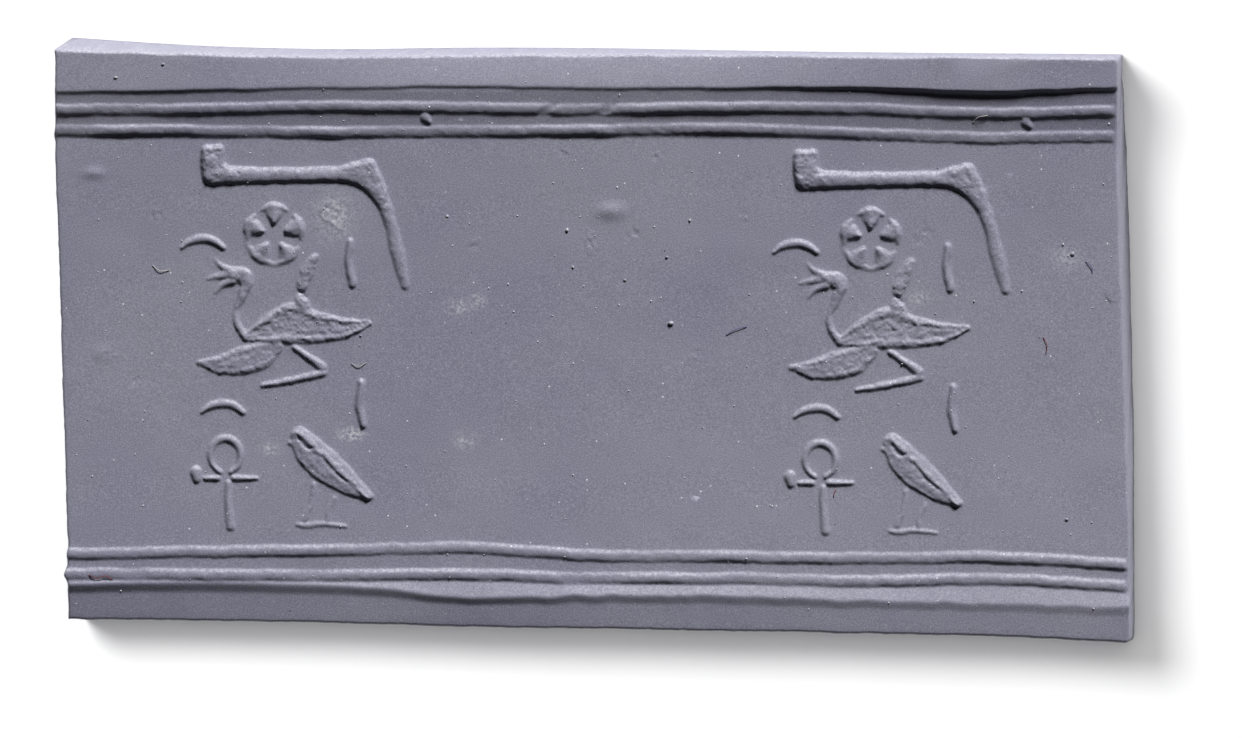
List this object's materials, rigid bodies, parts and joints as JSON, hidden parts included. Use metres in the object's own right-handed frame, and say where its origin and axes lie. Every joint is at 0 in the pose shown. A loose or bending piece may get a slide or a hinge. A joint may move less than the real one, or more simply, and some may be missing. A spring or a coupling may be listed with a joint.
{
  "type": "cylinder seal impression",
  "caption": "Flat strip of modelling clay with a cylinder seal's design rolled into it in low relief, between raised border lines.",
  "frame": {"origin": "middle of the box on the flat underside", "axes": "+X along the roll, +Y up the design, +Z out of the printed face"},
  "size_m": [0.0574, 0.0322, 0.005],
  "materials": {
    "modelling_clay": "matte"
  },
  "bodies": {
    "root": {"clay_impression": "modelling_clay"}
  },
  "joints": []
}
